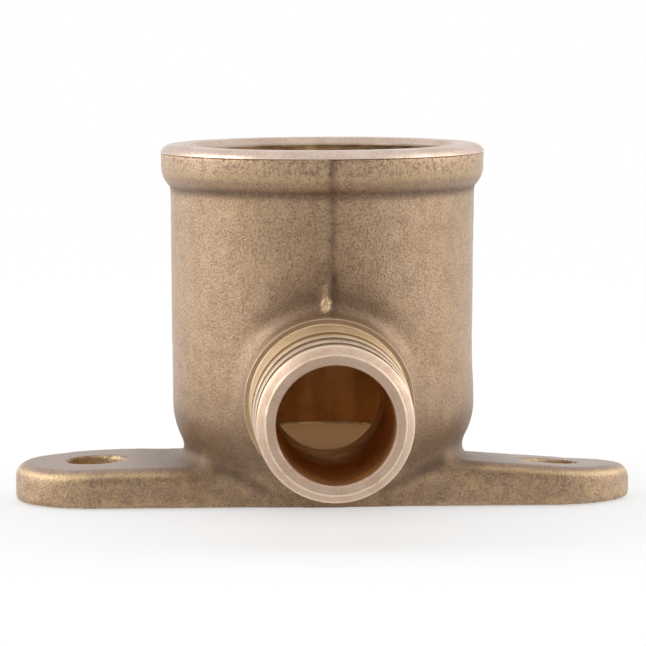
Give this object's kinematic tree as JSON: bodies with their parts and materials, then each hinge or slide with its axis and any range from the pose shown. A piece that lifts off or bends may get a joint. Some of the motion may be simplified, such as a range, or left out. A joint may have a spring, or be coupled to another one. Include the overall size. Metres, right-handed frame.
{
  "type": "wall plate elbow",
  "caption": "Cast brass wall plate elbow: an obround screw plate carries an upright socket with an inside pipe thread, and a barbed pipe spigot leaves its foot at a right angle.",
  "frame": {"origin": "on the wall plane, on the axis of the socket", "axes": "+Z along the socket's axis, out of the wall; the spigot points along -Y; the two ears lie along X"},
  "size_m": [0.0516, 0.0453, 0.0298],
  "materials": {
    "cast_brass": "as cast and shot blasted, with turned rim and spigot"
  },
  "bodies": {
    "root": {"elbow_body": "cast_brass"}
  },
  "joints": []
}
